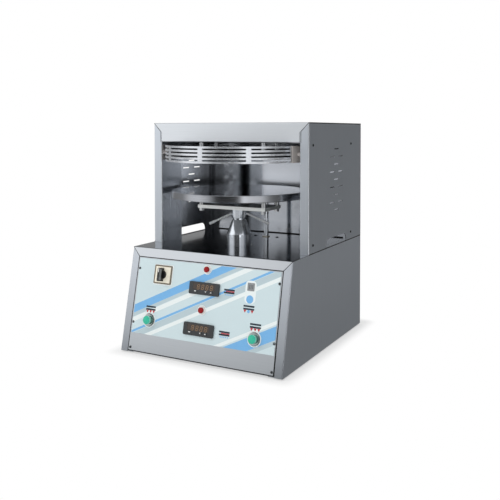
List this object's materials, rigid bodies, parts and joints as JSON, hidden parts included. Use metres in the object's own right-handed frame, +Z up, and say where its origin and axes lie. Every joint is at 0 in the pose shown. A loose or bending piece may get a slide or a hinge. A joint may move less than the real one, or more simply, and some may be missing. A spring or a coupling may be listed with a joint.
{
  "type": "pizza dough press",
  "caption": "Counter-top pizza dough press: folded stainless cabinet with a hood, a heated plate on a lift column, a slotted guard ring and a sloping control panel.",
  "frame": {"origin": "bottom centre of the whole object's box, on the floor under the feet", "axes": "+Z up, -Y out of the front towards the operator, +X to the operator's right"},
  "size_m": [0.4268, 0.504, 0.54],
  "materials": {
    "brushed_stainless": "fine brushed stainless sheet",
    "polished_stainless": "bright polished stainless sheet",
    "polished_steel": "turned and polished",
    "satin_steel": "satin machined",
    "zinc_hardware": "zinc plated",
    "frame_paint": "satin grey paint",
    "motor_paint": "satin blue-grey paint",
    "guard_paint": "brown-grey satin",
    "bronze": "turned bronze",
    "gear_steel": "machined",
    "heater_plate": "cast",
    "foot_rubber": "matte",
    "overlay_film": "printed satin film",
    "black_plastic": "matte black",
    "device_plastic": "matte grey",
    "controller_plastic": "satin dark grey",
    "key_plastic": "satin grey",
    "window_plastic": "smoked gloss",
    "switch_border": "satin olive brown",
    "switch_cream": "satin cream",
    "bezel_chrome": "bright chrome",
    "lamp_ring": "bright ring",
    "green_lens": "translucent green",
    "red_lens": "translucent red",
    "timer_plastic": "satin grey"
  },
  "bodies": {
    "cabinet": {"rubber_feet": "foot_rubber", "base_tray": "brushed_stainless", "base_left_side": "brushed_stainless", "base_right_side": "brushed_stainless", "base_deck": "polished_stainless", "control_panel": "brushed_stainless", "panel_overlay": "overlay_film", "hood_left_side": "brushed_stainless", "hood_right_side": "brushed_stainless", "hood_top_cover": "brushed_stainless", "hood_inner_back": "polished_stainless", "back_panel": "brushed_stainless", "hood_front_posts": "brushed_stainless", "cabinet_screws": "zinc_hardware", "frame_cheeks": "frame_paint", "frame_top_plate": "frame_paint", "frame_guide_plate": "frame_paint", "frame_foot_plate": "frame_paint", "column_sleeve": "bronze", "rod_bush": "bronze", "upper_plate": "polished_steel", "upper_heater": "heater_plate", "upper_cover": "satin_steel", "hanger_studs": "zinc_hardware", "guard_ring": "polished_steel", "guard_brackets": "guard_paint", "shaft_bushes": "bronze", "worm_gearbox": "frame_paint", "drive_motor": "motor_paint", "rail_devices": "device_plastic", "cable_gland": "black_plastic", "switch_frame": "switch_border", "switch_face": "switch_cream", "contact_blocks": "black_plastic", "button_bezels": "bezel_chrome", "lamp_bezels": "lamp_ring", "lamp_lenses": "red_lens", "controller_cases": "controller_plastic", "display_windows": "window_plastic", "timer_case": "timer_plastic"},
    "column": {"column": "polished_steel"},
    "collar": {"adjust_collar": "polished_steel", "collar_levers": "polished_steel"},
    "plate_carriage": {"plate_stem": "polished_steel", "plate_bracket": "satin_steel", "bracket_bolts": "zinc_hardware", "lower_plate": "polished_steel", "lower_heater": "heater_plate", "lower_cover": "satin_steel", "guide_rod": "polished_steel"},
    "pinion": {"pinion_shaft": "gear_steel"},
    "switch_knob": {"switch_knob": "black_plastic"},
    "left_button": {"left_button": "green_lens"},
    "right_button": {"right_button": "green_lens"},
    "upper_set_key": {"upper_set_key": "key_plastic"},
    "upper_down_key": {"upper_down_key": "key_plastic"},
    "upper_up_key": {"upper_up_key": "key_plastic"},
    "lower_set_key": {"lower_set_key": "key_plastic"},
    "lower_down_key": {"lower_down_key": "key_plastic"},
    "lower_up_key": {"lower_up_key": "key_plastic"}
  },
  "joints": [
    {"name": "plate_lift", "type": "slide", "parent": "cabinet", "child": "column", "axis": [0, 0, 1], "range_m": [0, 0.075]},
    {"name": "plate_height", "type": "slide", "parent": "column", "child": "plate_carriage", "axis": [0, 0, 1], "range_m": [0, 0.003]},
    {"name": "collar_turn", "type": "hinge", "parent": "column", "child": "collar", "pos_m": [0, -0.0575, 0.318], "axis": [0, 0, 1], "range_deg": [0, 360]},
    {"name": "pinion_turn", "type": "hinge", "parent": "cabinet", "child": "pinion", "pos_m": [0, -0.0065, 0.117], "axis": [-1, 0, 0], "range_deg": [0, 160]},
    {"name": "switch_turn", "type": "hinge", "parent": "cabinet", "child": "switch_knob", "pos_m": [-0.1165, -0.21257, 0.18346], "axis": [0, -0.977, 0.2135], "range_deg": [0, 90]},
    {"name": "left_button_press", "type": "slide", "parent": "cabinet", "child": "left_button", "axis": [0, 0.977, -0.2135], "range_m": [0, 0.004], "stiffness_N_per_m": 1500},
    {"name": "right_button_press", "type": "slide", "parent": "cabinet", "child": "right_button", "axis": [0, 0.977, -0.2135], "range_m": [0, 0.004], "stiffness_N_per_m": 1500},
    {"name": "upper_set_key_press", "type": "slide", "parent": "cabinet", "child": "upper_set_key", "axis": [0, 0.977, -0.2135], "range_m": [0, 0.0005], "stiffness_N_per_m": 2000},
    {"name": "upper_down_key_press", "type": "slide", "parent": "cabinet", "child": "upper_down_key", "axis": [0, 0.977, -0.2135], "range_m": [0, 0.0005], "stiffness_N_per_m": 2000},
    {"name": "upper_up_key_press", "type": "slide", "parent": "cabinet", "child": "upper_up_key", "axis": [0, 0.977, -0.2135], "range_m": [0, 0.0005], "stiffness_N_per_m": 2000},
    {"name": "lower_set_key_press", "type": "slide", "parent": "cabinet", "child": "lower_set_key", "axis": [0, 0.977, -0.2135], "range_m": [0, 0.0005], "stiffness_N_per_m": 2000},
    {"name": "lower_down_key_press", "type": "slide", "parent": "cabinet", "child": "lower_down_key", "axis": [0, 0.977, -0.2135], "range_m": [0, 0.0005], "stiffness_N_per_m": 2000},
    {"name": "lower_up_key_press", "type": "slide", "parent": "cabinet", "child": "lower_up_key", "axis": [0, 0.977, -0.2135], "range_m": [0, 0.0005], "stiffness_N_per_m": 2000}
  ],
  "couplings": [
    {"joint": "collar_turn", "follows": "plate_height", "rad_per_m": 2094.4},
    {"joint": "pinion_turn", "follows": "plate_lift", "rad_per_m": 37.037}
  ]
}
